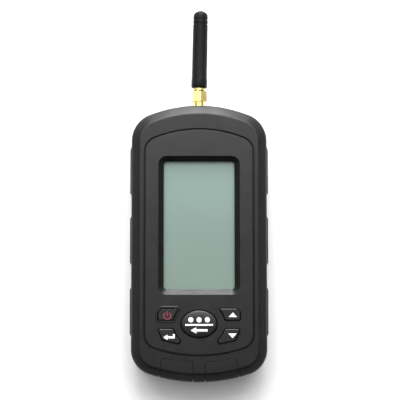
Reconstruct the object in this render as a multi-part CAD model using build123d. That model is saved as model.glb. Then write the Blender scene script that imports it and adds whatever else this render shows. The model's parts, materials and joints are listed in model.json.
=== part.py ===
from build123d import *
import os
from math import pi, radians, sqrt, tan

# Handheld wireless fish finder, lying on its back.
# Origin: centre of the flat rear face. +X right, +Y towards the antenna, +Z out of the display.
# All sizes are in millimetres.

# ---------------------------------------------------------------- housing outline
HALF_WIDTH = 37.5
HALF_LENGTH = 76.35
THICKNESS = 28.0
TOP_ARC_R = 75.3
BOTTOM_ARC_R = 89.7
TOP_CORNER_R = 15.5
BOTTOM_CORNER_R = 14.4
SPLIT_Z = 10.0          # where the rear and front housings meet
WALL = 2.6
REAR_FLOOR = 2.0
# the outer form's side, from the rear face up: (height, how far in from the outline)
SIDE_PROFILE = ((0.0, 3.0), (0.35, 2.05), (2.05, 0.35), (3.0, 0.0), (22.9, 0.0), (23.5, 0.06), (24.2, 0.42),
                (24.8, 1.0), (27.3, 4.1), (27.72, 4.75), (THICKNESS, 5.5))
ROOF_Z = 24.0           # underside of the front housing's roof

# ---------------------------------------------------------------- face panel and its groove
PANEL_HALF_WIDTH = 30.05
PANEL_TOP_Y = 62.8
PANEL_BOTTOM_Y = -61.6
PANEL_TOP_ARC_R = 66.0
PANEL_BOTTOM_ARC_R = 77.0
PANEL_CORNER_R = 8.0
GROOVE_WIDTH = 0.8
PANEL_SEAT_Z = 26.0
FIT_GAP = 0.25          # all round a part that drops into its seat

# ---------------------------------------------------------------- display
RECESS_HALF_WIDTH = 22.4
RECESS_TOP_Y = 47.8
RECESS_BOTTOM_Y = -28.4
RECESS_SLOPE = 2.9
RECESS_CORNER_R = 4.6
RECESS_FOOT_R = 1.8
SKIRT_BOTTOM_Z = 25.2
SKIRT_WALL = 1.0
WINDOW_THICKNESS = 1.2
GASKET_THICKNESS = 0.3
LCD_TOP_Z = 22.9
LCD_GLASS_THICKNESS = 2.2
BACKLIGHT_THICKNESS = 2.5

# ---------------------------------------------------------------- circuit board
BOARD_TOP_Z = 17.6
BOARD_THICKNESS = 1.6
BOARD_HALF_WIDTH = 25.5
BOARD_TOP_Y = 60.0
BOARD_BOTTOM_Y = -69.0
POST_X = 21.0
POST_UPPER_Y = 56.5
POST_LOWER_Y = -62.5

# ---------------------------------------------------------------- keys
KEY_GAP = 0.45          # between a key and its opening
KEY_FLANGE_TOP_Z = 23.7
KEY_FLANGE_THICKNESS = 0.8
KEY_FLANGE_WIDTH = 0.8
MENU_CENTRE_Y = -44.4
MENU_SEMI_X = 10.3
MENU_SEMI_Y = 7.9
KEY_CLEAR_SEMI_X = 13.9  # the side keys curve round the menu key along this ellipse
KEY_CLEAR_SEMI_Y = 12.2
SWITCH_SIZE = 6.0
SWITCH_HEIGHT = 3.4
PLUNGER_R = 1.7
PLUNGER_TOP_Z = 22.0
PLUNGER_BOTTOM_Z = 19.4

# ---------------------------------------------------------------- batteries and their door
CELL_R = 5.25
CELL_LENGTH = 43.5
CELL_PITCH = 10.8
CELL_AXIS_Z = 7.9
BAY_HALF_WIDTH = 21.8
BAY_TOP_Y = -17.0
BAY_BOTTOM_Y = -67.0
BAY_CEILING_Z = 13.4
DOOR_THICKNESS = 2.0
DOOR_HALF_WIDTH = 22.8
DOOR_FLANGE = 1.3       # runs in the side channels
DOOR_TOP_Y = -13.0
DOOR_GAP = 0.3
CHANNEL_LOW_Z = 0.9
CHANNEL_HIGH_Z = 2.3

# ---------------------------------------------------------------- side grips and bottom bumpers
GRIP_LENGTH = 27.5
GRIP_CENTRES_Y = (39.85, 1.25, -37.9)
GRIP_LOW_Z = 11.4
GRIP_HIGH_Z = 21.8
GRIP_PROUD = 0.8
GRIP_SEAT_DEPTH = 1.2
BUMPER_INNER_X = 3.5
BUMPER_SKIN = 1.2
BUMPER_LOW_Z = 12.0
BUMPER_GROOVE = 0.3     # shows as a line round the bumper

# ---------------------------------------------------------------- antenna and its jack
ANTENNA_Z = 14.0
LEAD_R = 0.9
LEAD_ROUTE = ((0.0, 66.0, 14.0), (0.0, 59.5, 14.0), (-4.0, 52.8, 12.6), (-8.0, 46.0, 14.8), (-8.0, 38.7, 14.8))
THREAD_R = 3.175        # 1/4-36 coupling thread
THREAD_PITCH = 0.7056
JACK_BARREL_END_Y = 85.0
THREAD_RINGS = 10       # ring grooves that stand for the thread
JACK_INNER_END_Y = 66.0
NUT_ACROSS_FLATS = 7.6
NUT_TURN = 14.0         # degrees from a corner facing straight up
NUT_BOTTOM_Y = 79.8
NUT_HEX_LENGTH = 5.8
NUT_LENGTH = 7.2
WHIP_BOTTOM_Y = 87.9
WHIP_LENGTH = 44.0
WHIP_BASE_R = 4.45
WHIP_TIP_R = 4.2
WHIP_TIP_RISE = 1.3     # height of the rounded tip
WHIP_GROOVES = (4.5, 7.1)  # ring grooves below the tip
WHIP_LEAN = 1.2         # degrees to the right of the jack's axis

# ---------------------------------------------------------------- fasteners
HOUSING_SCREW_SPOTS = ((-28.0, 62.0), (28.0, 62.0), (-31.0, 0.0), (31.0, 0.0), (-29.2, -62.6), (29.2, -62.6))
BOSS_R = 3.0
SCREW_R = 1.3
SCREW_HEAD_R = 2.4
LANYARD_X = 20.0
LANYARD_BORE_R = 1.6
LANYARD_BORE_Y = 70.6
LANYARD_BORE_Z = 3.6
LANYARD_RIB = 3.0
LANYARD_NOTCH = 13.0


# ================================================================ helpers
def prism(sketch, low, high):
    """The sketch, raised from one height to another."""
    return extrude(Plane.XY.offset(low) * sketch, high - low)


def block(x_low, x_high, y_low, y_high, z_low, z_high):
    """A box from its lowest and highest corners."""
    solid = Box(x_high - x_low, y_high - y_low, z_high - z_low)
    return Pos((x_low + x_high) / 2, (y_low + y_high) / 2, (z_low + z_high) / 2) * solid


def rod_z(x, y, radius, low, high):
    """An upright cylinder."""
    return Pos(x, y, (low + high) / 2) * Cylinder(radius, high - low)


def rod_y(x, z, radius, low, high):
    """A cylinder along Y."""
    return Pos(x, (low + high) / 2, z) * Rot(X=-90) * Cylinder(radius, high - low)


def rod_x(y, z, radius, low, high):
    """A cylinder along X."""
    return Pos((low + high) / 2, y, z) * Rot(Y=90) * Cylinder(radius, high - low)


def rounded_box(half_x, y_low, y_high, radius):
    """A rectangle about X = 0 with rounded corners."""
    return Pos(0, (y_low + y_high) / 2) * RectangleRounded(2 * half_x, y_high - y_low, radius)


def arched(half_width, top_y, bottom_y, top_r, bottom_r, top_corner_r, bottom_corner_r):
    """An upright outline with straight sides, a convex arc at each end and four round corners."""
    top_side_y = top_y - top_r + sqrt(top_r**2 - half_width**2)
    bottom_side_y = bottom_y + bottom_r - sqrt(bottom_r**2 - half_width**2)
    edges = [
        ThreePointArc((half_width, top_side_y), (0, top_y), (-half_width, top_side_y)),
        Line((-half_width, top_side_y), (-half_width, bottom_side_y)),
        ThreePointArc((-half_width, bottom_side_y), (0, bottom_y), (half_width, bottom_side_y)),
        Line((half_width, bottom_side_y), (half_width, top_side_y)),
    ]
    outline = make_face(Curve() + edges)
    corners = outline.vertices().sort_by(Axis.Y)
    outline = fillet(corners[2:], top_corner_r)
    corners = [v for v in outline.vertices() if abs(v.Y - bottom_side_y) < 0.01]
    return fillet(corners, bottom_corner_r)


def housing_outline(inset=0.0):
    """The housing seen from the front, drawn in by an even inset."""
    return arched(HALF_WIDTH - inset, HALF_LENGTH - inset, -HALF_LENGTH + inset, TOP_ARC_R - inset,
                  BOTTOM_ARC_R - inset, TOP_CORNER_R - inset, BOTTOM_CORNER_R - inset)


def panel_outline(inset=0.0):
    """The face panel's groove seen from the front, drawn in by an even inset."""
    return arched(PANEL_HALF_WIDTH - inset, PANEL_TOP_Y - inset, PANEL_BOTTOM_Y + inset,
                  PANEL_TOP_ARC_R - inset, PANEL_BOTTOM_ARC_R - inset, PANEL_CORNER_R - inset,
                  PANEL_CORNER_R - inset)


def outer_form(skin=0.0):
    """The closed outer form of both housings, drawn in by an even skin."""
    sections = []
    last = len(SIDE_PROFILE) - 1
    for index, (height, inset) in enumerate(SIDE_PROFILE):
        lower_z, lower_inset = SIDE_PROFILE[max(index - 1, 0)]
        upper_z, upper_inset = SIDE_PROFILE[min(index + 1, last)]
        rise, run = upper_z - lower_z, upper_inset - lower_inset
        if index in (0, last):
            rise, run = 0.0, (1.0 if index else -1.0)
        length = sqrt(rise**2 + run**2)
        outline = housing_outline(inset + skin * rise / length)
        sections.append(Plane.XY.offset(height - skin * run / length) * outline)
    return loft(sections, ruled=True)


# ---------------------------------------------------------------- key outlines, seen from the front
def menu_outline(grow=0.0):
    return Pos(0, MENU_CENTRE_Y) * Ellipse(MENU_SEMI_X + grow, MENU_SEMI_Y + grow)


def beside_menu(y):
    """The point at this height on the ellipse that the side keys curve round."""
    return (KEY_CLEAR_SEMI_X * sqrt(1 - ((y - MENU_CENTRE_Y) / KEY_CLEAR_SEMI_Y)**2), y)


def side_key_outline(points, arc_end_y, arc_start_y, corner_r, side, grow):
    """A key beside the menu key: straight sides through the points, closed by an arc round the menu key."""
    start, middle, end = (beside_menu(y) for y in (arc_start_y, (arc_start_y + arc_end_y) / 2, arc_end_y))
    path = [end, *points, start]
    if side < 0:
        path = [(-x, y) for x, y in reversed(path)]
        middle = (-middle[0], middle[1])
    shape = make_face(Curve() + [Polyline(*path), ThreePointArc(path[-1], middle, path[0])])
    shape = fillet(shape.vertices(), corner_r)
    return offset(shape, grow, kind=Kind.ARC) if grow else shape


def upper_key_outline(side, grow=0.0):
    points = [(22.9, -42.7), (22.9, -37.8), (20.6, -35.5)]
    return side_key_outline(points, -42.7, -35.5, 1.1, side, grow)


def lower_key_outline(side, grow=0.0):
    points = [(10.8, -55.7), (20.3, -53.5), (23.2, -46.5)]
    return side_key_outline(points, -53.2, -46.5, 1.3, side, grow)


KEYS = {
    # name: (outline at a given growth, stem centre, top height, width and height of the edge's slope)
    "menu": (menu_outline, (0.0, MENU_CENTRE_Y), 29.2, 2.6, 0.8),
    "power": (lambda grow=0.0: upper_key_outline(-1, grow), (-17.3, -39.4), 27.9, 0.3, 0.3),
    "up": (lambda grow=0.0: upper_key_outline(1, grow), (17.3, -39.4), 28.8, 0.3, 0.3),
    "enter": (lambda grow=0.0: lower_key_outline(-1, grow), (-16.2, -50.4), 28.8, 0.3, 0.3),
    "down": (lambda grow=0.0: lower_key_outline(1, grow), (16.2, -50.4), 28.8, 0.3, 0.3),
}


def key_cap(outline, stem, top_z, slope_width, slope_height):
    """A hard key: a body in its opening, a retaining flange below the roof and a stem."""
    flange_low = KEY_FLANGE_TOP_Z - KEY_FLANGE_THICKNESS
    body = prism(outline(-KEY_GAP), flange_low, top_z)
    top_face = body.faces().sort_by(Axis.Z)[-1]
    body = chamfer(top_face.edges(), slope_height, slope_width, reference=top_face)
    flange = prism(outline(KEY_FLANGE_WIDTH), flange_low, KEY_FLANGE_TOP_Z)
    post = rod_z(*stem, 2.0, PLUNGER_TOP_Z, flange_low)
    return body + flange + post


def make_keys():
    """Five keys, and the switch plunger that each one rests on."""
    made = {}
    for name, (outline, stem, *top_sizes) in KEYS.items():
        made[name + "_key"] = key_cap(outline, stem, *top_sizes)
        made[name + "_plunger"] = rod_z(*stem, PLUNGER_R, PLUNGER_BOTTOM_Z, PLUNGER_TOP_Z)
    return made


def key_openings(grow=0.0):
    """The five openings, cut through whatever stands in front of the keys."""
    return [prism(key[0](grow), ROOF_Z - 1.0, THICKNESS + 4.0) for key in KEYS.values()]


# ================================================================ housings
def boss(x, y, low, high, radius=BOSS_R):
    return rod_z(x, y, radius, low, high)


def side_grip_form(centre_y, side, clear=0.0):
    """One grip pad: a bar with slanted ends, set into the side of the front housing."""
    half = GRIP_LENGTH / 2 + clear
    inner_x = HALF_WIDTH - GRIP_SEAT_DEPTH - clear
    outer_x = HALF_WIDTH + GRIP_PROUD
    slant = 1.8
    points = [(inner_x, centre_y - half), (HALF_WIDTH, centre_y - half), (outer_x, centre_y - half + slant),
              (outer_x, centre_y + half - slant), (HALF_WIDTH, centre_y + half), (inner_x, centre_y + half)]
    pad = prism(make_face(Polyline(*points, close=True)), GRIP_LOW_Z - clear, GRIP_HIGH_Z + clear)
    if not clear:
        outer_edges = [e for e in pad.edges() if abs(e.center().X - outer_x) < 0.01
                       and abs(e.length - (GRIP_LENGTH - 2 * slant)) < 0.01]
        pad = chamfer(outer_edges, 0.6)
    return pad if side > 0 else mirror(pad, Plane.YZ)


def bumper_region(side, clear=0.0):
    """The tab-shaped area of one bottom bumper, seen from the front, running off the bottom edge."""
    low_y = -HALF_LENGTH - 2
    points = [(BUMPER_INNER_X - clear, low_y), (BUMPER_INNER_X - clear, -65.1 + clear),
              (20.3 + clear, -62.8 + clear), (22.4 + clear, low_y)]
    top = ThreePointArc(points[1], (12.0, -64.4 + clear), points[2])
    edges = [Line(points[0], points[1]), top, Line(points[2], points[3]), Line(points[3], points[0])]
    area = make_face(Curve() + edges)
    upper = [v for v in area.vertices() if v.Y > -70]
    area = fillet(upper, 1.4)
    return area if side > 0 else mirror(area, Plane.YZ)


def bumper_form(side, clear=0.0, sunk=0.0):
    """One bottom bumper: a skin that follows the front face, the bevel and the end wall."""
    region = prism(bumper_region(side, clear), BUMPER_LOW_Z - clear, THICKNESS + 1)
    return (OUTER & region) - outer_form(BUMPER_SKIN + sunk)


def jack_seat():
    """The flat that the antenna jack's washer rests on, inside the top end wall."""
    return rod_y(0, ANTENNA_Z, 5.0, 68.0, HALF_LENGTH - WALL)


def make_front_housing():
    shell = OUTER & block(-50, 50, -90, 90, SPLIT_Z, THICKNESS + 1)
    shell -= prism(housing_outline(WALL), SPLIT_Z - 1, ROOF_Z)
    for x, y in HOUSING_SCREW_SPOTS:
        shell += boss(x, y, SPLIT_Z, ROOF_Z + 1)
    for x in (-POST_X, POST_X):
        for y in (POST_UPPER_Y, POST_LOWER_Y):
            shell += boss(x, y, BOARD_TOP_Z, ROOF_Z + 1, 2.3)
            shell -= rod_z(x, y, 0.95, BOARD_TOP_Z - 1, ROOF_Z)
    shell -= prism(panel_outline(-GROOVE_WIDTH / 2), PANEL_SEAT_Z, THICKNESS + 1)
    shell -= prism(recess_surround(SKIRT_WALL + FIT_GAP), ROOF_Z - 1, THICKNESS)
    shell -= key_openings(0.15)
    for x, y in HOUSING_SCREW_SPOTS:
        shell -= rod_z(x, y, SCREW_R + 0.02, SPLIT_Z - 1, 20.0)
    for centre_y in GRIP_CENTRES_Y:
        for side in (-1, 1):
            shell -= side_grip_form(centre_y, side, 0.1)
    for side in (-1, 1):
        shell -= bumper_form(side, BUMPER_GROOVE, 0.1)
    shell -= rod_y(0, ANTENNA_Z, THREAD_R + 0.1, 70, 80)
    return shell - jack_seat()


def make_rear_housing():
    shell = OUTER & block(-50, 50, -90, 90, -1, SPLIT_Z)
    shell -= prism(housing_outline(WALL), REAR_FLOOR, SPLIT_Z + 1)
    inside = outer_form(0.3)
    # battery box, and the floor above the door's channel to the bottom end
    box = block(-25.6, 25.6, BAY_BOTTOM_Y - 1.2, DOOR_TOP_Y + 1.8, REAR_FLOOR, BAY_CEILING_Z + 1.2)
    box += block(-25.6, 25.6, -HALF_LENGTH, BAY_BOTTOM_Y, REAR_FLOOR, CHANNEL_HIGH_Z + 1.4) & inside
    shell += box
    shell -= block(-BAY_HALF_WIDTH, BAY_HALF_WIDTH, BAY_BOTTOM_Y, BAY_TOP_Y, -1, BAY_CEILING_Z)
    slot_half = DOOR_HALF_WIDTH + DOOR_GAP
    shell -= block(-slot_half, slot_half, -90, DOOR_TOP_Y + DOOR_GAP, -1, CHANNEL_HIGH_Z)
    shell -= block(-slot_half - DOOR_FLANGE, slot_half + DOOR_FLANGE, -90, DOOR_TOP_Y + DOOR_GAP,
                   CHANNEL_LOW_Z, CHANNEL_HIGH_Z)
    for x, y in HOUSING_SCREW_SPOTS:
        shell += boss(x, y, 1.0, SPLIT_Z)
        shell -= rod_z(x, y, SCREW_R + 0.15, -1, SPLIT_Z + 1)
        shell -= rod_z(x, y, SCREW_HEAD_R + 0.3, -1, 3.4)
    # lanyard eye: a bored rib that bridges a notch in the rear edge of the top end
    half = LANYARD_NOTCH / 2
    mass = block(LANYARD_X - half - 2, LANYARD_X + half + 2, 64.5, HALF_LENGTH, 1.0, 9.4) & inside
    shell += mass
    notch = block(LANYARD_X - half, LANYARD_X + half, 66.6, HALF_LENGTH + 2, -1, 7.4)
    notch -= block(LANYARD_X - LANYARD_RIB / 2, LANYARD_X + LANYARD_RIB / 2, 60, HALF_LENGTH + 3, -2, 9)
    shell -= notch
    shell -= rod_x(LANYARD_BORE_Y, LANYARD_BORE_Z, LANYARD_BORE_R, LANYARD_X - half, LANYARD_X + half)
    seal_groove = prism(housing_outline(0.9), SPLIT_Z - 0.9, SPLIT_Z + 1)
    seal_groove -= prism(housing_outline(1.9), 0, SPLIT_Z + 2)
    return shell - seal_groove - jack_seat()


def make_housing_seal():
    ring = prism(housing_outline(1.0), SPLIT_Z - 0.9, SPLIT_Z)
    return ring - prism(housing_outline(1.8), 0, SPLIT_Z + 1)


def make_battery_cover():
    """Slides out through the bottom end, in channels along both sides."""
    plate = block(-DOOR_HALF_WIDTH, DOOR_HALF_WIDTH, -90, DOOR_TOP_Y, 0, DOOR_THICKNESS)
    plate += block(-DOOR_HALF_WIDTH - DOOR_FLANGE, DOOR_HALF_WIDTH + DOOR_FLANGE, -90, DOOR_TOP_Y,
                   CHANNEL_LOW_Z + DOOR_GAP / 2, DOOR_THICKNESS)
    plate &= OUTER
    for step in range(7):
        y = DOOR_TOP_Y - 7.0 - 2.0 * step
        plate -= block(-7.0 + 0.5 * step, 7.0 - 0.5 * step, y - 0.5, y + 0.5, -1, 0.5)
    return plate


# ================================================================ face panel and display
def recess_form():
    """The display recess: a funnel with sloped walls."""
    top = rounded_box(RECESS_HALF_WIDTH, RECESS_BOTTOM_Y, RECESS_TOP_Y, RECESS_CORNER_R)
    foot = rounded_box(RECESS_HALF_WIDTH - RECESS_SLOPE, RECESS_BOTTOM_Y + RECESS_SLOPE,
                       RECESS_TOP_Y - RECESS_SLOPE, RECESS_FOOT_R)
    return loft([Plane.XY.offset(SKIRT_BOTTOM_Z) * foot, Plane.XY.offset(THICKNESS) * top], ruled=True)


def recess_surround(margin):
    """The recess's opening, enlarged by an even margin."""
    return rounded_box(RECESS_HALF_WIDTH + margin, RECESS_BOTTOM_Y - margin, RECESS_TOP_Y + margin,
                       RECESS_CORNER_R + margin)


def make_face_panel():
    panel = prism(panel_outline(GROOVE_WIDTH / 2), PANEL_SEAT_Z, THICKNESS)
    top_edges = panel.faces().sort_by(Axis.Z)[-1].edges()
    panel = chamfer(top_edges, 0.3)
    panel += prism(recess_surround(SKIRT_WALL), SKIRT_BOTTOM_Z, THICKNESS - 0.5)
    rim = prism(KEYS["power"][0](0.9), THICKNESS - 0.5, THICKNESS + 0.45)
    panel += chamfer(rim.faces().sort_by(Axis.Z)[-1].edges(), 0.25)
    panel -= recess_form()
    return panel - key_openings()


def make_display():
    """Window, gasket, glass, backlight, frame and contact strip, from the front to the back."""
    made = {}
    gasket_low = SKIRT_BOTTOM_Z - GASKET_THICKNESS
    sheet = recess_surround(SKIRT_WALL - 0.1)
    gasket = prism(sheet, gasket_low, SKIRT_BOTTOM_Z)
    made["window_gasket"] = gasket - prism(recess_surround(SKIRT_WALL - 3.0), gasket_low - 1, THICKNESS)
    made["display_window"] = prism(sheet, gasket_low - WINDOW_THICKNESS, gasket_low)
    glass_low = LCD_TOP_Z - LCD_GLASS_THICKNESS
    glass_half = RECESS_HALF_WIDTH - 0.6
    upper_sheet = rounded_box(glass_half, -28.0, 48.0, 0.4)
    lower_sheet = rounded_box(glass_half, -31.0, 48.0, 0.4)
    seam_z = LCD_TOP_Z - LCD_GLASS_THICKNESS / 2
    made["lcd_glass"] = prism(upper_sheet, seam_z, LCD_TOP_Z) + prism(lower_sheet, glass_low, seam_z)
    light_low = glass_low - 0.2 - BACKLIGHT_THICKNESS
    light_guide = rounded_box(glass_half - 0.4, -26.0, 47.6, 0.6)
    made["backlight_panel"] = prism(light_guide, light_low, glass_low - 0.2)
    frame = prism(rounded_box(24.4, -33.4, 50.2, 2.0), BOARD_TOP_Z, LCD_TOP_Z + 0.6)
    frame -= prism(rounded_box(glass_half + 0.2, -31.2, 48.2, 0.5), BOARD_TOP_Z - 1, LCD_TOP_Z + 0.05)
    frame_opening = rounded_box(RECESS_HALF_WIDTH - RECESS_SLOPE + 0.8, -27.0, 46.6, 2.0)
    frame -= prism(frame_opening, BOARD_TOP_Z, LCD_TOP_Z + 2)
    made["lcd_frame"] = frame
    made["lcd_contact_strip"] = block(-20.0, 20.0, -30.4, -28.4, BOARD_TOP_Z, glass_low)
    return made


# ================================================================ side grips and bumpers
def make_grips():
    made = {}
    places = ("top", "middle", "bottom")
    for side, side_name in ((-1, "left"), (1, "right")):
        for place, centre_y in zip(places, GRIP_CENTRES_Y):
            made[f"{side_name}_{place}_grip"] = side_grip_form(centre_y, side)
        made[f"{side_name}_bumper"] = bumper_form(side)
    return made


# ================================================================ circuit board and what it carries
def make_board():
    low = BOARD_TOP_Z - BOARD_THICKNESS
    board = prism(rounded_box(BOARD_HALF_WIDTH, BOARD_BOTTOM_Y, 54.0, 2.0), low, BOARD_TOP_Z)
    board += prism(rounded_box(23.8, 40.0, BOARD_TOP_Y, 2.0), low, BOARD_TOP_Z)
    for x in (-POST_X, POST_X):
        for y in (POST_UPPER_Y, POST_LOWER_Y):
            board -= rod_z(x, y, 1.3, low - 1, BOARD_TOP_Z + 1)
    return board


def chip(x, y, width, depth, height, legs):
    """A chip under the board, with a row of legs on all four sides."""
    top = BOARD_TOP_Z - BOARD_THICKNESS
    body = block(x - width / 2, x + width / 2, y - depth / 2, y + depth / 2, top - height, top - 0.15)
    pitch = 0.8 * width / legs
    reach_x = width / 2 + 0.8
    reach_y = depth / 2 + 0.8
    for leg in range(legs):
        along = (leg - (legs - 1) / 2) * pitch
        body += block(x + along - 0.15, x + along + 0.15, y - reach_y, y + reach_y, top - 0.4, top)
        body += block(x - reach_x, x + reach_x, y + along - 0.15, y + along + 0.15, top - 0.4, top)
    return body


def make_components():
    """The parts soldered to the board, upper rear side, and the key switches on its front."""
    made = {}
    low = BOARD_TOP_Z - BOARD_THICKNESS
    made["main_board"] = make_board()
    made["processor_chip"] = chip(4.0, 8.0, 12.0, 12.0, 1.4, 12)
    made["radio_shield"] = (block(-20.0, -4.0, 22.0, 36.0, low - 3.0, low)
                            - block(-19.7, -4.3, 22.3, 35.7, low - 2.7, low + 1))
    made["crystal"] = prism(Pos(17.5, 8.0) * SlotOverall(10.0, 4.2), low - 3.4, low)
    buzzer = rod_z(14.0, 34.0, 6.0, low - 6.5, low) - rod_z(14.0, 34.0, 0.9, low - 7.5, low - 2.0)
    made["buzzer"] = chamfer(buzzer.faces().sort_by(Axis.Z)[0].edges().sort_by(SortBy.LENGTH)[-1:], 0.5)
    spots = ((-15.0, 4.0), (-8.0, 16.0), (0.0, 22.0), (18.0, 20.0))
    made["capacitors"] = Compound(children=[rod_z(x, y, 2.5, low - 5.2, low) for x, y in spots])
    switches = []
    for _outline, (x, y), *_top_sizes in KEYS.values():
        half = SWITCH_SIZE / 2
        body = block(x - half, x + half, y - half, y + half, BOARD_TOP_Z, BOARD_TOP_Z + SWITCH_HEIGHT)
        switches.append(body - rod_z(x, y, PLUNGER_R + 0.1, BOARD_TOP_Z + 0.9, BOARD_TOP_Z + 5))
    made["key_switches"] = Compound(children=switches)
    return made


# ================================================================ batteries
def cell_x(index):
    return (index - 1.5) * CELL_PITCH


def make_batteries():
    """Four cells side by side, facing up and down in turn, with their contacts at both ends."""
    made = {}
    lower_end = BAY_BOTTOM_Y + 0.4
    upper_end = BAY_TOP_Y - 0.4
    leaves = {"lower": [], "upper": []}
    for index in range(4):
        x = cell_x(index)
        points_up = index % 2 == 0
        # the button rests on the flat plate, and the leaf pushes on the other end
        low = upper_end - 1.0 - CELL_LENGTH if points_up else lower_end + 1.0
        cell = rod_y(x, CELL_AXIS_Z, CELL_R, low, low + CELL_LENGTH)
        cell = chamfer(cell.edges().filter_by(GeomType.CIRCLE), 0.4)
        if points_up:
            cell += rod_y(x, CELL_AXIS_Z, 1.9, low + CELL_LENGTH - 0.1, upper_end)
        else:
            cell += rod_y(x, CELL_AXIS_Z, 1.9, lower_end, low + 0.1)
        made[f"battery_cell_{index + 1}"] = cell
        wall_y = lower_end if points_up else upper_end
        touch_y = low if points_up else low + CELL_LENGTH
        run = touch_y - wall_y
        zigzag = [(wall_y, CELL_AXIS_Z - 3.6), (wall_y, CELL_AXIS_Z - 4.0), (touch_y, CELL_AXIS_Z),
                  (wall_y + 0.15 * run, CELL_AXIS_Z + 4.0), (wall_y + 0.15 * run, CELL_AXIS_Z + 3.4),
                  (touch_y - 0.1 * run, CELL_AXIS_Z - 0.1)]
        leaf = extrude(Plane.YZ.offset(x - 2.5) * make_face(Polyline(*zigzag, close=True)), 5.0)
        leaves["lower" if points_up else "upper"].append(leaf)
    plates = {"lower": ((0, 1), (2, 3)), "upper": ((0,), (1, 2), (3,))}
    for end, groups in plates.items():
        wall_y, inner_y = (BAY_BOTTOM_Y, lower_end) if end == "lower" else (upper_end, BAY_TOP_Y)
        pieces = []
        for group in groups:
            plate = block(cell_x(group[0]) - 4.2, cell_x(group[-1]) + 4.2, wall_y, inner_y, 3.2, 12.6)
            for leaf in leaves[end]:
                centre = leaf.center().X
                if cell_x(group[0]) - 1 < centre < cell_x(group[-1]) + 1:
                    plate += leaf
            pieces.append(plate)
        made[f"battery_contacts_{end}"] = Compound(children=pieces)
    return made


# ================================================================ fasteners
def screw(x, y, head_low, head_high, tip_z, shank_r, head_r):
    """A cross-head screw pointing up, its head at the rear."""
    body = rod_z(x, y, head_r, head_low, head_high)
    body = chamfer(body.faces().sort_by(Axis.Z)[0].edges(), 0.35)
    body += rod_z(x, y, shank_r, head_high, tip_z - 1.0)
    body += Pos(x, y, tip_z - 0.5) * Cone(shank_r, 0.3, 1.0)
    cross = block(x - 1.3, x + 1.3, y - 0.25, y + 0.25, head_low - 1, head_low + 0.9)
    cross += block(x - 0.25, x + 0.25, y - 1.3, y + 1.3, head_low - 1, head_low + 0.9)
    return body - cross


def make_screws():
    housing = [screw(x, y, 1.6, 3.4, 19.0, SCREW_R, SCREW_HEAD_R) for x, y in HOUSING_SCREW_SPOTS]
    low = BOARD_TOP_Z - BOARD_THICKNESS
    board = [screw(x, y, low - 1.2, low, 23.0, 0.9, 1.8) for x in (-POST_X, POST_X)
             for y in (POST_UPPER_Y, POST_LOWER_Y)]
    return {"housing_screws": Compound(children=housing), "board_screws": Compound(children=board)}


# ================================================================ antenna jack and coaxial lead
def hexagon_y(x, z, across_flats, low, high, turn=0.0):
    """A hexagonal bar along Y, turned from having one corner towards the front."""
    shape = RegularPolygon(across_flats / 2, 6, major_radius=False, rotation=30 + turn)
    return extrude(Plane(origin=(x, low, z), x_dir=(1, 0, 0), z_dir=(0, 1, 0)) * shape, high - low)


def make_jack():
    made = {}
    wall_inner = HALF_LENGTH - WALL
    barrel = rod_y(0, ANTENNA_Z, THREAD_R, JACK_INNER_END_Y, JACK_BARREL_END_Y)
    barrel += hexagon_y(0, ANTENNA_Z, 8.0, wall_inner - 3.2, wall_inner - 0.8)
    for groove in range(THREAD_RINGS):
        y = JACK_BARREL_END_Y - 0.6 - groove * THREAD_PITCH
        ring = rod_y(0, ANTENNA_Z, THREAD_R + 1, y - 0.18, y + 0.18)
        barrel -= ring - rod_y(0, ANTENNA_Z, THREAD_R - 0.3, y - 1, y + 1)
    barrel -= rod_y(0, ANTENNA_Z, 2.1, JACK_INNER_END_Y - 1, JACK_BARREL_END_Y + 1)
    made["antenna_jack"] = barrel
    filler = rod_y(0, ANTENNA_Z, 2.08, JACK_INNER_END_Y, JACK_BARREL_END_Y - 1.0)
    made["jack_insulator"] = filler - rod_y(0, ANTENNA_Z, 0.65, JACK_INNER_END_Y - 1, JACK_BARREL_END_Y)
    washer = rod_y(0, ANTENNA_Z, 4.6, wall_inner - 0.8, wall_inner)
    made["jack_washer"] = washer - rod_y(0, ANTENNA_Z, THREAD_R + 0.05, wall_inner - 2, wall_inner + 1)
    ring_nut = rod_y(0, ANTENNA_Z, 3.9, HALF_LENGTH, HALF_LENGTH + 0.9)
    made["jack_nut"] = ring_nut - rod_y(0, ANTENNA_Z, THREAD_R + 0.02, HALF_LENGTH - 1, NUT_BOTTOM_Y + 1)
    return made


def make_lead():
    """The coaxial lead from the jack to the radio, under the board."""
    route = [Vector(*point) for point in LEAD_ROUTE]
    radii = []
    for before, here, after in zip(route, route[1:], route[2:]):
        turn = (here - before).get_angle(after - here)
        shorter = min((here - before).length, (after - here).length)
        radii.append(0.45 * shorter / tan(radians(turn / 2)))
    print("lead radii", [round(r, 1) for r in radii])
    path = FilletPolyline(*route, radius=radii)
    start = Plane(origin=path @ 0, z_dir=path % 0)
    tube = sweep(start * Circle(LEAD_R), path=path)
    share = tube.volume / (pi * LEAD_R**2 * path.length)
    print("lead length", round(path.length, 2), "volume over section times length", round(share, 4))
    low = BOARD_TOP_Z - BOARD_THICKNESS
    end_x, end_y, _end_z = LEAD_ROUTE[-1]
    plug = block(end_x - 1.6, end_x + 1.6, end_y - 2.2, end_y, low - 2.2, low)
    return {"coax_lead": tube, "coax_plug": plug}


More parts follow.
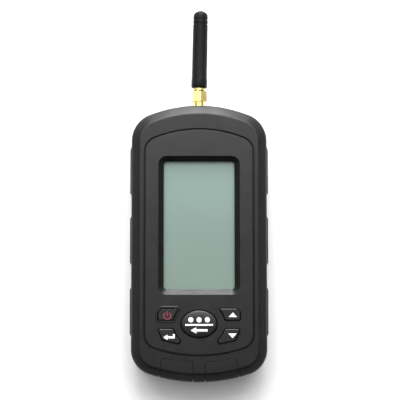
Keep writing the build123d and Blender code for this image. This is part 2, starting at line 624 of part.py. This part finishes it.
# ================================================================ antenna
def make_antenna():
    made = {}
    nut_top = NUT_BOTTOM_Y + NUT_LENGTH
    hex_top = NUT_BOTTOM_Y + NUT_HEX_LENGTH
    nut = hexagon_y(0, ANTENNA_Z, NUT_ACROSS_FLATS, NUT_BOTTOM_Y, nut_top, NUT_TURN)
    form = Polyline((0, NUT_BOTTOM_Y), (3.85, NUT_BOTTOM_Y), (4.6, NUT_BOTTOM_Y + 0.5), (4.6, hex_top - 0.5),
                    (3.95, hex_top), (3.3, hex_top + 0.7), (3.3, nut_top), (0, nut_top), close=True)
    nut &= Pos(0, 0, ANTENNA_Z) * revolve(make_face(form), Axis.Y)
    nut -= rod_y(0, ANTENNA_Z, THREAD_R + 0.1, NUT_BOTTOM_Y - 1, nut_top - 1.2)
    nut -= rod_y(0, ANTENNA_Z, 2.35, nut_top - 2, nut_top + 1)
    made["antenna_nut"] = nut
    collar_low = JACK_BARREL_END_Y + 0.05
    sleeve = rod_y(0, ANTENNA_Z, 2.9, collar_low, nut_top - 1.25)
    sleeve += rod_y(0, ANTENNA_Z, 2.25, collar_low, WHIP_BOTTOM_Y + 3.0)
    sleeve -= rod_y(0, ANTENNA_Z, 1.2, collar_low - 1, WHIP_BOTTOM_Y + 4.0)
    made["antenna_ferrule"] = sleeve
    insulator = rod_y(0, ANTENNA_Z, 1.18, collar_low, WHIP_BOTTOM_Y + 3.0)
    made["antenna_insulator"] = insulator - rod_y(0, ANTENNA_Z, 0.55, collar_low - 1, WHIP_BOTTOM_Y + 4)
    wire_top = WHIP_BOTTOM_Y + WHIP_LENGTH - 4.0
    wire = rod_y(0, ANTENNA_Z, 0.45, JACK_BARREL_END_Y - 3.4, WHIP_BOTTOM_Y + 3.0)
    lean = Pos(0, WHIP_BOTTOM_Y, ANTENNA_Z) * Rot(Z=-WHIP_LEAN)
    upper_wire = lean * rod_y(0, 0, 0.45, 2.9, wire_top - WHIP_BOTTOM_Y)
    made["antenna_radiator"] = wire + upper_wire
    # the rubber whip: a wider foot, a slight taper, two ring grooves and a rounded tip
    length = WHIP_LENGTH
    profile = [(0, 0), (WHIP_BASE_R - 0.4, 0), (WHIP_BASE_R, 0.4), (WHIP_BASE_R, 4.8),
               (WHIP_BASE_R - 0.2, 5.3)]
    for groove_y in (length - WHIP_GROOVES[1], length - WHIP_GROOVES[0]):
        profile += [(WHIP_TIP_R, groove_y - 0.5), (WHIP_TIP_R - 0.25, groove_y - 0.3),
                    (WHIP_TIP_R - 0.25, groove_y + 0.3), (WHIP_TIP_R, groove_y + 0.5)]
    profile.append((WHIP_TIP_R - 0.1, length - WHIP_TIP_RISE))
    outline = Polyline(*profile)
    tip_r = (profile[-1][0]**2 + WHIP_TIP_RISE**2) / (2 * WHIP_TIP_RISE)
    tip = ThreePointArc(profile[-1], (2.0, length - tip_r + sqrt(tip_r**2 - 4.0)), (0, length))
    section_area = make_face(Curve() + [outline, tip, Line((0, length), (0, 0))])
    whip = lean * revolve(section_area, Axis.Y)
    whip -= rod_y(0, ANTENNA_Z, 2.26, WHIP_BOTTOM_Y - 1, WHIP_BOTTOM_Y + 3.0)
    made["antenna_whip"] = whip - lean * rod_y(0, 0, 0.5, 1.0, wire_top - WHIP_BOTTOM_Y)
    return made


# ================================================================ writing
OUTER = outer_form()


def main():
    parts = {
        "front_housing": make_front_housing(),
        "rear_housing": make_rear_housing(),
        "housing_seal": make_housing_seal(),
        "battery_cover": make_battery_cover(),
        "face_panel": make_face_panel(),
    }
    for group in (make_display, make_keys, make_grips, make_components, make_batteries, make_screws, make_jack,
                  make_lead, make_antenna):
        parts.update(group())
    os.makedirs("parts", exist_ok=True)
    for name, shape in parts.items():
        export_step(shape, f"parts/{name}.step")


main()
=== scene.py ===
import json
import math

import bmesh
import bpy
from mathutils import Matrix, Vector


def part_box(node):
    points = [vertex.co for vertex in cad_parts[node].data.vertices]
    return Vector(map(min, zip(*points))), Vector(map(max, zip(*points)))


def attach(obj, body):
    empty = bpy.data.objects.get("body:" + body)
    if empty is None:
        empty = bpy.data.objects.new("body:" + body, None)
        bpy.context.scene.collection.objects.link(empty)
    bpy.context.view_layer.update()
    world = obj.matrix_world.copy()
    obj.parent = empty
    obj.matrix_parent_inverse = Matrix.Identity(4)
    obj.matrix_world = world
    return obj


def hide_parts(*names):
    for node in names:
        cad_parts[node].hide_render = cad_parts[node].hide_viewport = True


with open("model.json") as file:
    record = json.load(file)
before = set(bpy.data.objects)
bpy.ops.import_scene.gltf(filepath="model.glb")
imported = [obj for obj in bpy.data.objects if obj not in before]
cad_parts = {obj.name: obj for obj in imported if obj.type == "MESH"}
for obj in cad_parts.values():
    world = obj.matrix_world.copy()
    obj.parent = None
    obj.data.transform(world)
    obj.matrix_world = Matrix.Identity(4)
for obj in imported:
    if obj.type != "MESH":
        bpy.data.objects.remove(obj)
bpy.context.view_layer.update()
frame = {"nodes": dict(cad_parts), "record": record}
MM = 0.001
NODES = frame["nodes"]
SLOT_OF = {entry["node"]: entry["material_slot"] for entry in frame["record"]["subparts"]}
BODY_OF = {node: body for body, nodes in frame["record"]["behaviour"]["bodies"].items() for node in nodes}


def box_mm(node):
    """The low and high corners of a CAD node's box, in millimetres."""
    low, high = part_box(node)
    return low / MM, high / MM


# ================================================================ sizes, in millimetres
# The radius given to the edges of each piece that keeps its CAD shape.
CASE_EDGES = {"front_housing": 0.22, "rear_housing": 0.3, "battery_cover": 0.2, "face_panel": 0.25}
BUMPER_EDGE = 0.06
GRIP_EDGE = 0.4
KEY_EDGE = 0.3
NUT_EDGES = {"antenna_nut": 0.16, "jack_nut": 0.12}
SHARP_EDGE = math.radians(32)        # edges that turn more than this are rounded
SMOOTH_EDGE = math.radians(35)       # edges that turn more than this stay sharp in shading
FLAT_EDGE = math.radians(0.6)        # edges that turn less than this are dissolved

# The menu key, in plan an ellipse with a flange below the face panel.
MENU_SEMI_X, MENU_SEMI_Y = 9.85, 7.45
MENU_FLANGE = 1.25
MENU_FLANGE_FROM, MENU_FLANGE_TO = 0.9, 1.7  # above the stem's foot
MENU_STEM_R = 2.0
MENU_RIM = ((0.0, 0.45), (0.05, 0.25), (0.18, 0.06))  # (inset, depth below the dome's rim)
CROWN_DROP = 0.75                    # how far the domed top falls to its rim
CROWN_CLEARANCE = 0.08               # kept between the dome and the CAD box

# Printed symbols.
INK_LIFT = 0.03
INK_THICKNESS = 0.05
INK_CELL = 0.5
MENU_DOT_R = 1.4
MENU_DOT_STEP = 4.5
TRIANGLE_WIDTH, TRIANGLE_HEIGHT = 4.6, 2.5
POWER_RING_R = 2.2
POWER_STROKE = 0.55

# The antenna's whip: (distance from the foot, radius), and (distance from the tip, radius).
WHIP_LEAN = math.radians(1.2)
WHIP_CLEARANCE = 0.08                # kept between the tip and the CAD box
WHIP_FOOT = ((0.0, 0.6), (0.0, 3.6), (0.06, 3.95), (0.25, 4.25), (0.6, 4.4), (4.6, 4.38), (5.0, 4.28),
             (5.4, 4.22), (20.0, 4.19))
WHIP_R_AT_GROOVES = 4.15
WHIP_GROOVES = (7.6, 5.1)            # below the tip
WHIP_GROOVE = ((-0.45, WHIP_R_AT_GROOVES), (-0.36, 4.05), (-0.22, 3.88), (0.0, 3.84), (0.22, 3.88),
               (0.36, 4.05), (0.45, WHIP_R_AT_GROOVES))
WHIP_TIP = ((3.1, 4.13), (2.5, 4.02), (1.9, 3.76), (1.3, 3.3), (0.8, 2.7), (0.4, 2.0), (0.12, 1.2),
            (0.0, 0.5))

# The stage, in metres and watts.
FLOOR_HALF = 3.0
GLOW_FROM, GLOW_TO = 0.3, 1.2        # where the floor starts to glow, and where it glows fully
LIGHTS = (
    # name, place, aim, width, height, power
    ("window_light", (0.0, 0.75, 0.26), (0, 0, 0.02), 0.36, 0.46, 7.6),
    ("softbox", (0.0, 0.42, 0.55), (0, 0, 0), 0.8, 0.45, 5.8),
    ("top_fill", (0.0, 0.0, 1.5), (0, 0, 0), 1.6, 1.6, 3.6),
    ("left_strip", (-0.42, 0.1, 0.62), (0, 0.08, 0), 0.3, 0.6, 0.7),
    ("right_strip", (0.42, 0.1, 0.62), (0, 0.08, 0), 0.3, 0.6, 0.5),
)
VIEW_DISTANCE = 0.6
VIEW_WIDTH = 0.2195                  # of the picture, at the face panel
VIEW_TILT = math.radians(3.6)
VIEW_AIM_X, VIEW_AIM_Y = 0.0005, 0.0234
SENSOR_WIDTH_MM = 36.0


# ================================================================ material helpers
def srgb(red, green, blue):
    """A colour given in 0-255 sRGB, as the linear values that shaders take."""
    def linear(value):
        value /= 255.0
        return value / 12.92 if value <= 0.04045 else ((value + 0.055) / 1.055) ** 2.4
    return (linear(red), linear(green), linear(blue), 1.0)


def grey(value):
    """A linear grey."""
    return (value, value, value, 1.0)


def object_coords(tree):
    """The place on the object, in its own frame."""
    return tree.nodes.new("ShaderNodeTexCoord").outputs["Object"]


def noise(tree, scale, detail=3.0):
    """A noise texture's value."""
    node = tree.nodes.new("ShaderNodeTexNoise")
    node.inputs["Scale"].default_value = scale
    node.inputs["Detail"].default_value = detail
    tree.links.new(object_coords(tree), node.inputs["Vector"])
    return node.outputs["Fac"]


def mapped(tree, value, low, high, new_low=0.0, new_high=1.0):
    """The value, taken from the span low-high to the span new_low-new_high."""
    node = tree.nodes.new("ShaderNodeMapRange")
    node.inputs["From Min"].default_value = low
    node.inputs["From Max"].default_value = high
    node.inputs["To Min"].default_value = new_low
    node.inputs["To Max"].default_value = new_high
    tree.links.new(value, node.inputs["Value"])
    return node.outputs["Result"]


def toned(tree, value, *stops):
    """The colour that a ramp with the given (position, colour) stops has at the value."""
    node = tree.nodes.new("ShaderNodeValToRGB")
    while len(node.color_ramp.elements) < len(stops):
        node.color_ramp.elements.new(0.5)
    for element, (position, colour) in zip(node.color_ramp.elements, stops):
        element.position, element.color = position, colour
    tree.links.new(value, node.inputs["Fac"])
    return node.outputs["Color"]


def shader_of(material):
    return material.node_tree.nodes["Principled BSDF"]


def tint(material, colour):
    material.node_tree.links.new(colour, shader_of(material).inputs["Base Color"])


def untinted(name, roughness, spread=0.05, metallic=0.0, specular=0.5, mottle=60.0, grain=900.0, bump=0.1):
    """A material with a slightly uneven gloss and a fine grain, still without its colour."""
    material = bpy.data.materials.new(name)
    material.use_nodes = True
    tree = material.node_tree
    shader = shader_of(material)
    shader.inputs["Metallic"].default_value = metallic
    shader.inputs["Specular IOR Level"].default_value = specular
    gloss = mapped(tree, noise(tree, 2.5 * mottle), 0.3, 0.7, roughness - spread, roughness + spread)
    tree.links.new(gloss, shader.inputs["Roughness"])
    relief = tree.nodes.new("ShaderNodeBump")
    relief.inputs["Strength"].default_value = bump
    relief.inputs["Distance"].default_value = 0.2 * MM
    tree.links.new(noise(tree, grain), relief.inputs["Height"])
    tree.links.new(relief.outputs["Normal"], shader.inputs["Normal"])
    return material


def surface(name, dark, light, roughness, mottle=60.0, **finish):
    """Two close tones mottled together."""
    material = untinted(name, roughness, mottle=mottle, **finish)
    tree = material.node_tree
    tint(material, toned(tree, noise(tree, mottle, 4.0), (0.3, srgb(*dark)), (0.7, srgb(*light))))
    return material


def patterned(material, pattern, scale, dark, light):
    """Colours a material with the two tones of a pattern texture."""
    tree = material.node_tree
    pattern.inputs["Scale"].default_value = scale
    tree.links.new(object_coords(tree), pattern.inputs["Vector"])
    tint(material, toned(tree, pattern.outputs["Fac"], (0.35, srgb(*dark)), (0.65, srgb(*light))))
    return material


def banded(name, dark, light, roughness, scale, direction, distortion=0.0):
    """Bands of two tones: light guides, printed sleeves and jackets."""
    material = untinted(name, roughness)
    bands = material.node_tree.nodes.new("ShaderNodeTexWave")
    bands.bands_direction = direction
    bands.inputs["Distortion"].default_value = distortion
    return patterned(material, bands, scale, dark, light)


def tracked(name, dark, light, roughness, scale):
    """A circuit board's mask with tracks under it."""
    material = untinted(name, roughness)
    return patterned(material, material.node_tree.nodes.new("ShaderNodeTexBrick"), scale, dark, light)


def display_glass():
    """The display's grey-green sheet with faint clouding, and painted light: lighter towards the antenna, to
    lift the shade that the recess's top wall casts there.
    """
    material = untinted("display_glass", 0.34, spread=0.008, bump=0.0)
    tree = material.node_tree
    split = tree.nodes.new("ShaderNodeSeparateXYZ")
    tree.links.new(object_coords(tree), split.inputs["Vector"])
    clouding_and_painted_light = tree.nodes.new("ShaderNodeMath")
    clouding_and_painted_light.operation = "MULTIPLY_ADD"
    clouding_and_painted_light.inputs[1].default_value = 0.35
    tree.links.new(noise(tree, 28.0, 1.0), clouding_and_painted_light.inputs[0])
    # painted light: the ramp along Y lightens the sheet towards the antenna, where the recess's top wall
    # casts shade
    tree.links.new(mapped(tree, split.outputs["Y"], -30 * MM, 50 * MM), clouding_and_painted_light.inputs[2])
    tint(material, toned(tree, clouding_and_painted_light.outputs["Value"], (0.15, srgb(92, 116, 104)),
                         (0.6, srgb(91, 117, 107)), (1.0, srgb(98, 127, 117))))
    return material


def clear_window():
    """A clear sheet that is nearly invisible but for its gloss."""
    material = surface("clear_window", (236, 240, 238), (242, 246, 244), 0.08, spread=0.004, bump=0.0)
    shader_of(material).inputs["Alpha"].default_value = 0.05
    return material


def pale_floor():
    """A matt pale sheet. Its far parts glow softly, so that the backdrop stays even at low angles."""
    material = surface("pale_floor", (249, 249, 249), (252, 252, 252), 0.9, spread=0.02, specular=0.0,
                       mottle=5.0, bump=0.0)
    tree = material.node_tree
    distance = tree.nodes.new("ShaderNodeVectorMath")
    distance.operation = "LENGTH"
    tree.links.new(object_coords(tree), distance.inputs[0])
    glow = mapped(tree, distance.outputs["Value"], GLOW_FROM, GLOW_TO)
    tree.links.new(glow, shader_of(material).inputs["Emission Strength"])
    shader_of(material).inputs["Emission Color"].default_value = srgb(250, 250, 250)
    return material


# ================================================================ materials
MATERIALS = {
    "housing": surface("housing_plastic", (8, 8, 9), (12, 12, 13), 0.42, specular=0.4),
    "panel": surface("panel_plastic", (9, 9, 10), (13, 13, 14), 0.4, specular=0.46, grain=700.0),
    "rubber": surface("black_rubber", (16, 16, 17), (22, 22, 23), 0.6, grain=1400.0, bump=0.15),
    "window": clear_window(),
    "lcd": display_glass(),
    "backlight": banded("light_guide", (222, 222, 218), (240, 240, 236), 0.25, 300.0, "Y"),
    "frame_plastic": surface("white_plastic", (205, 205, 200), (214, 214, 209), 0.45),
    "key": surface("key_plastic", (8, 8, 9), (13, 13, 14), 0.38),
    "circuit": tracked("solder_mask", (7, 52, 27), (24, 96, 50), 0.3, 220.0),
    "chip": surface("moulded_epoxy", (22, 22, 23), (34, 34, 35), 0.55, grain=1600.0),
    "tin": surface("tin_plate", (168, 170, 172), (190, 192, 194), 0.28, metallic=1.0, mottle=150.0,
                   bump=0.05),
    "steel": surface("zinc_plate", (150, 152, 156), (176, 178, 182), 0.3, metallic=1.0, mottle=200.0,
                     bump=0.05),
    "gold": surface("gold_plate", (248, 222, 134), (254, 232, 152), 0.2, spread=0.03, metallic=1.0,
                    mottle=250.0, bump=0.03),
    "ptfe": surface("fluoropolymer", (228, 228, 224), (236, 236, 232), 0.5),
    "cell": banded("cell_sleeve", (28, 34, 58), (190, 150, 80), 0.3, 7.0, "Y"),
    "seal": surface("grey_silicone", (120, 120, 122), (132, 132, 134), 0.6, grain=1400.0),
    "lead_jacket": banded("brown_jacket", (84, 50, 27), (102, 62, 36), 0.4, 900.0, "DIAGONAL", 2.0),
}
WHIP_RUBBER = surface("whip_rubber", (7, 7, 8), (11, 11, 12), 0.55, specular=0.16, mottle=90.0, grain=1200.0,
                      bump=0.12)
BUMPER_RUBBER = surface("bumper_rubber", (8, 8, 9), (12, 12, 13), 0.45, specular=0.4, grain=1200.0)
WHITE_INK = surface("white_ink", (236, 236, 236), (246, 246, 246), 0.45, mottle=400.0, bump=0.03)
RED_INK = surface("red_ink", (134, 42, 68), (148, 50, 78), 0.45, mottle=400.0, bump=0.03)


def dress_cad_nodes():
    """Gives every CAD node its slot's material."""
    for name, node in NODES.items():
        node.data.materials.clear()
        node.data.materials.append(MATERIALS[SLOT_OF[name]])


# ================================================================ mesh helpers
def add_object(name, work, material):
    """Turns finished mesh work into an object of the scene."""
    mesh = bpy.data.meshes.new(name)
    work.to_mesh(mesh)
    work.free()
    mesh.materials.append(material)
    piece = bpy.data.objects.new(name, mesh)
    bpy.context.scene.collection.objects.link(piece)
    return piece


def fix(piece, body, slot, *replaced):
    """Attaches the piece to its body and hides the CAD nodes that it stands for. The slot argument is not
    used.
    """
    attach(piece, body)
    if replaced:
        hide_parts(*replaced)


def settle(piece):
    """Bakes the piece's modifiers into its mesh."""
    graph = bpy.context.evaluated_depsgraph_get()
    baked = bpy.data.meshes.new_from_object(piece.evaluated_get(graph))
    piece.modifiers.clear()
    piece.data = baked


def smooth(piece):
    """Smooth shading, but for sharp edges."""
    piece.data.shade_smooth()
    piece.data.set_sharp_from_angle(angle=SMOOTH_EDGE)


def turned(count):
    """The cosine and sine of evenly spread turns."""
    for index in range(count):
        turn = 2 * math.pi * index / count
        yield math.cos(turn), math.sin(turn)


def from_rings(name, rings, material):
    """A closed skin through rings of the same number of points, in millimetres."""
    work = bmesh.new()
    rows = [[work.verts.new(Vector(point) * MM) for point in ring] for ring in rings]
    for row, following in zip(rows, rows[1:]):
        for index in range(len(row)):
            after = (index + 1) % len(row)
            work.faces.new((row[index], row[after], following[after], following[index]))
    work.faces.new(rows[0])
    work.faces.new(rows[-1])
    bmesh.ops.recalc_face_normals(work, faces=work.faces)
    piece = add_object(name, work, material)
    smooth(piece)
    return piece


def refined(node, radius, material=None):
    """A piece with the node's shape and softly rounded edges, as moulded and machined parts have."""
    source = NODES[node].data.copy()
    if "custom_normal" in source.attributes:
        source.attributes.remove(source.attributes["custom_normal"])
    work = bmesh.new()
    work.from_mesh(source)
    bmesh.ops.remove_doubles(work, verts=work.verts, dist=0.001 * MM)
    bmesh.ops.dissolve_limit(work, angle_limit=FLAT_EDGE, verts=work.verts, edges=work.edges)
    weights = work.edges.layers.float.new("bevel_weight_edge")
    for edge in work.edges:
        if len(edge.link_faces) == 2 and edge.calc_face_angle() > SHARP_EDGE:
            edge[weights] = 1.0
    piece = add_object(node + "_shell", work, material or MATERIALS[SLOT_OF[node]])
    rounding = piece.modifiers.new("rounding", "BEVEL")
    rounding.limit_method = "WEIGHT"
    rounding.width = radius * MM
    rounding.segments = 3
    smooth(piece)
    piece.modifiers.new("normals", "WEIGHTED_NORMAL").keep_sharp = True
    settle(piece)
    fix(piece, BODY_OF[node], SLOT_OF[node], node)


# ================================================================ the menu key
MENU_LOW, MENU_HIGH = box_mm("menu_key")
MENU_X = (MENU_LOW.x + MENU_HIGH.x) / 2
MENU_Y = (MENU_LOW.y + MENU_HIGH.y) / 2
CROWN_TOP = MENU_HIGH.z - CROWN_CLEARANCE


def crown_height(x, y):
    """The menu key's domed top."""
    out = math.hypot((x - MENU_X) / MENU_SEMI_X, (y - MENU_Y) / MENU_SEMI_Y)
    return CROWN_TOP - CROWN_DROP * min(out, 1.0) ** 3


def ellipse(semi_x, semi_y, height):
    return [(MENU_X + semi_x * cosine, MENU_Y + semi_y * sine, height) for cosine, sine in turned(96)]


def widened(margin, height):
    """The menu key's outline, moved out by the margin."""
    return ellipse(MENU_SEMI_X + margin, MENU_SEMI_Y + margin, height)


def make_menu_key():
    """A stem, a retaining flange, straight sides, a rounded rim and a domed top."""
    foot = MENU_LOW.z
    rim = CROWN_TOP - CROWN_DROP
    rings = [ellipse(MENU_STEM_R, MENU_STEM_R, height) for height in (foot, foot + MENU_FLANGE_FROM)]
    rings += [widened(MENU_FLANGE, foot + height) for height in (MENU_FLANGE_FROM, MENU_FLANGE_TO)]
    rings.append(widened(0.0, foot + MENU_FLANGE_TO))
    rings += [widened(-inset, rim - depth) for inset, depth in MENU_RIM]
    for share in (0.95, 0.9, 0.8, 0.7, 0.6, 0.5, 0.4, 0.3, 0.2, 0.1):
        height = crown_height(MENU_X + share * MENU_SEMI_X, MENU_Y)
        rings.append(ellipse(share * MENU_SEMI_X, share * MENU_SEMI_Y, height))
    fix(from_rings("menu_key_dome", rings, MATERIALS["key"]), "menu_key", "key", "menu_key")


# ================================================================ symbols printed on the keys
def rounded(points, radius):
    """The polygon with its corners rounded."""
    steps = 4
    shape = []
    for index, corner in enumerate(points):
        corner = Vector(corner)
        before = Vector(points[index - 1]) - corner
        after = Vector(points[(index + 1) % len(points)]) - corner
        reach = min(radius, 0.45 * before.length, 0.45 * after.length)
        start, end = corner + before.normalized() * reach, corner + after.normalized() * reach
        for step in range(steps + 1):
            t = step / steps
            shape.append((1 - t) ** 2 * start + 2 * t * (1 - t) * corner + t * t * end)
    return shape


def bar(x, y, width, height, radius):
    half_x, half_y = width / 2, height / 2
    return rounded([(x - half_x, y - half_y), (x + half_x, y - half_y), (x + half_x, y + half_y),
                    (x - half_x, y + half_y)], radius)


def dot(x, y, radius):
    return [(x + radius * cosine, y + radius * sine) for cosine, sine in turned(24)]


def triangle(x, y, way):
    """A triangle centred on x, y that points up (way 1) or down (way -1)."""
    half_x, rise = TRIANGLE_WIDTH / 2, way * TRIANGLE_HEIGHT / 2
    return rounded([(x - half_x, y - rise), (x + half_x, y - rise), (x, y + rise)], 0.2)


def arrow(x, y, length, head, half_height, half_shaft):
    """An arrow that points left, with its tip at x, y."""
    return rounded([(x, y), (x + head, y - half_height), (x + head, y - half_shaft),
                    (x + length, y - half_shaft), (x + length, y + half_shaft), (x + head, y + half_shaft),
                    (x + head, y + half_height)], 0.15)


def return_arrow(x, y, length, head, half_height, half_shaft, rise, stroke):
    """An arrow that points left from a short upright, with its tip at x, y."""
    return rounded([(x, y), (x + head, y - half_height), (x + head, y - half_shaft),
                    (x + length, y - half_shaft), (x + length, y + rise), (x + length - stroke, y + rise),
                    (x + length - stroke, y + half_shaft), (x + head, y + half_shaft),
                    (x + head, y + half_height)], 0.12)


def power_sign(x, y):
    """A ring open at the top, in short pieces, and an upright bar."""
    gap = math.radians(38)
    steps = 28
    inner = POWER_RING_R - POWER_STROKE
    shapes = []
    for index in range(steps):
        first, second = (math.pi / 2 + gap + 2 * (math.pi - gap) * (index + end) / steps for end in (0, 1))
        shapes.append([(x + radius * math.cos(turn), y + radius * math.sin(turn))
                       for radius, turn in ((POWER_RING_R, first), (POWER_RING_R, second), (inner, second),
                                            (inner, first))])
    shapes.append(bar(x, y + 1.15, POWER_STROKE, 2.7, 0.2))
    return shapes


def cut_into_cells(work):
    """Cuts flat shapes along a grid, so that they can follow a curved top."""
    xs = [vert.co.x for vert in work.verts]
    ys = [vert.co.y for vert in work.verts]
    for normal, low, high in (((1, 0, 0), min(xs), max(xs)), ((0, 1, 0), min(ys), max(ys))):
        cut = low + INK_CELL
        while cut < high:
            bmesh.ops.bisect_plane(work, geom=work.verts[:] + work.edges[:] + work.faces[:],
                                   plane_co=Vector(normal) * cut, plane_no=normal)
            cut += INK_CELL


def print_symbol(name, key, shapes, height, ink):
    """Marks printed on a key: thin shapes that lie on the key's top."""
    work = bmesh.new()
    for shape in shapes:
        work.faces.new([work.verts.new((point[0], point[1], 0)) for point in shape])
    cut_into_cells(work)
    for vert in work.verts:
        vert.co.z = height(vert.co.x, vert.co.y) + INK_LIFT
        vert.co *= MM
    bmesh.ops.recalc_face_normals(work, faces=work.faces)
    for face in work.faces:
        if face.normal.z < 0:
            face.normal_flip()
    piece = add_object(name, work, ink)
    thickness = piece.modifiers.new("thickness", "SOLIDIFY")
    thickness.thickness = INK_THICKNESS * MM
    thickness.offset = -1
    settle(piece)
    fix(piece, key, "key")


def print_on_flat(name, key, offset_x, offset_y, draw, ink):
    """Prints what draw(x, y) gives at an offset from the middle of a flat key."""
    low, high = box_mm(key)
    shapes = draw((low.x + high.x) / 2 + offset_x, (low.y + high.y) / 2 + offset_y)
    print_symbol(name, key, shapes, lambda _x, _y: high.z, ink)


def make_symbols():
    menu = [dot(step * MENU_DOT_STEP, MENU_Y + 2.4, MENU_DOT_R) for step in (-1, 0, 1)]
    menu.append(bar(0.0, MENU_Y - 0.35, 15.2, 0.95, 0.25))
    menu.append(arrow(-4.7, MENU_Y - 3.3, length=9.4, head=3.2, half_height=1.75, half_shaft=0.65))
    print_symbol("menu_symbols", "menu_key", menu, crown_height, WHITE_INK)
    print_on_flat("up_symbol", "up_key", 1.415, -0.15, lambda x, y: [triangle(x, y, 1)], WHITE_INK)
    print_on_flat("down_symbol", "down_key", 1.963, 0.347, lambda x, y: [triangle(x, y, -1)], WHITE_INK)
    print_on_flat("enter_symbol", "enter_key", -3.263, -0.503,
                  lambda x, y: [return_arrow(x, y, length=6.3, head=2.3, half_height=1.5, half_shaft=0.6,
                                             rise=1.8, stroke=1.1)], WHITE_INK)
    print_on_flat("power_symbol", "power_key", -0.315, -0.7, power_sign, RED_INK)


# ================================================================ antenna
def make_whip():
    """A moulded rubber whip: a wider foot, a slight taper, two ring grooves and a rounded tip."""
    low, high = box_mm("antenna_whip")
    length = high.y - low.y - WHIP_CLEARANCE
    profile = list(WHIP_FOOT)
    profile.append((length - 8.2, WHIP_R_AT_GROOVES))
    for depth in WHIP_GROOVES:
        profile += [(length - depth + offset, radius) for offset, radius in WHIP_GROOVE]
    profile += [(length - depth, radius) for depth, radius in WHIP_TIP]
    lean = Matrix.Translation((0, low.y, (low.z + high.z) / 2)) @ Matrix.Rotation(-WHIP_LEAN, 4, "Z")
    rings = [[lean @ Vector((radius * cosine, along, radius * sine)) for cosine, sine in turned(64)]
             for along, radius in profile]
    fix(from_rings("whip_sleeve", rings, WHIP_RUBBER), "antenna", "rubber", "antenna_whip")


# ================================================================ stage, light and camera
def lay_floor():
    """A pale sheet under the unit's back."""
    work = bmesh.new()
    bmesh.ops.create_grid(work, x_segments=24, y_segments=24, size=FLOOR_HALF)
    add_object("floor", work, pale_floor())


def hang_light(name, place, aim, width, height, power):
    data = bpy.data.lights.new(name, "AREA")
    data.shape = "RECTANGLE"
    data.size, data.size_y, data.energy = width, height, power
    lamp = bpy.data.objects.new(name, data)
    bpy.context.scene.collection.objects.link(lamp)
    lamp.location = place
    lamp.rotation_euler = (Vector(aim) - Vector(place)).to_track_quat("-Z", "Y").to_euler()


def paint_room():
    """A room that is lighter on the antenna's side; the camera sees it pale."""
    world = bpy.data.worlds.new("studio")
    bpy.context.scene.world = world
    world.use_nodes = True
    tree = world.node_tree
    split = tree.nodes.new("ShaderNodeSeparateXYZ")
    tree.links.new(tree.nodes.new("ShaderNodeTexCoord").outputs["Generated"], split.inputs["Vector"])
    along = mapped(tree, split.outputs["Y"], -1.0, 1.0)
    room = toned(tree, along, (0.0, grey(0.0)), (0.5, grey(0.16)), (1.0, grey(0.7)))
    seen = tree.nodes.new("ShaderNodeMix")
    seen.data_type = "RGBA"
    seen.inputs["B"].default_value = grey(0.95)
    tree.links.new(tree.nodes.new("ShaderNodeLightPath").outputs["Is Camera Ray"], seen.inputs["Factor"])
    tree.links.new(room, seen.inputs["A"])
    tree.links.new(seen.outputs["Result"], tree.nodes["Background"].inputs["Color"])


def place_camera():
    """Looks straight down at the face, tilted a little towards the keys."""
    aim = Vector((VIEW_AIM_X, VIEW_AIM_Y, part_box("face_panel")[1].z))
    data = bpy.data.cameras.new("camera")
    data.sensor_width = SENSOR_WIDTH_MM
    data.lens = SENSOR_WIDTH_MM * VIEW_DISTANCE / VIEW_WIDTH
    camera = bpy.data.objects.new("camera", data)
    bpy.context.scene.collection.objects.link(camera)
    camera.location = aim + VIEW_DISTANCE * Vector((0, -math.sin(VIEW_TILT), math.cos(VIEW_TILT)))
    camera.rotation_euler = (VIEW_TILT, 0, 0)
    bpy.context.scene.camera = camera
    bpy.context.scene.view_settings.view_transform = "Standard"


# ================================================================ the scene
dress_cad_nodes()
for node, radius in CASE_EDGES.items():
    refined(node, radius)
for side in ("left", "right"):
    refined(side + "_bumper", BUMPER_EDGE, BUMPER_RUBBER)
    for place in ("top", "middle", "bottom"):
        refined(f"{side}_{place}_grip", GRIP_EDGE)
for key in ("power", "up", "enter", "down"):
    refined(key + "_key", KEY_EDGE)
make_menu_key()
make_symbols()
make_whip()
for node, radius in NUT_EDGES.items():
    refined(node, radius)

lay_floor()
for light in LIGHTS:
    hang_light(*light)
paint_room()
place_camera()
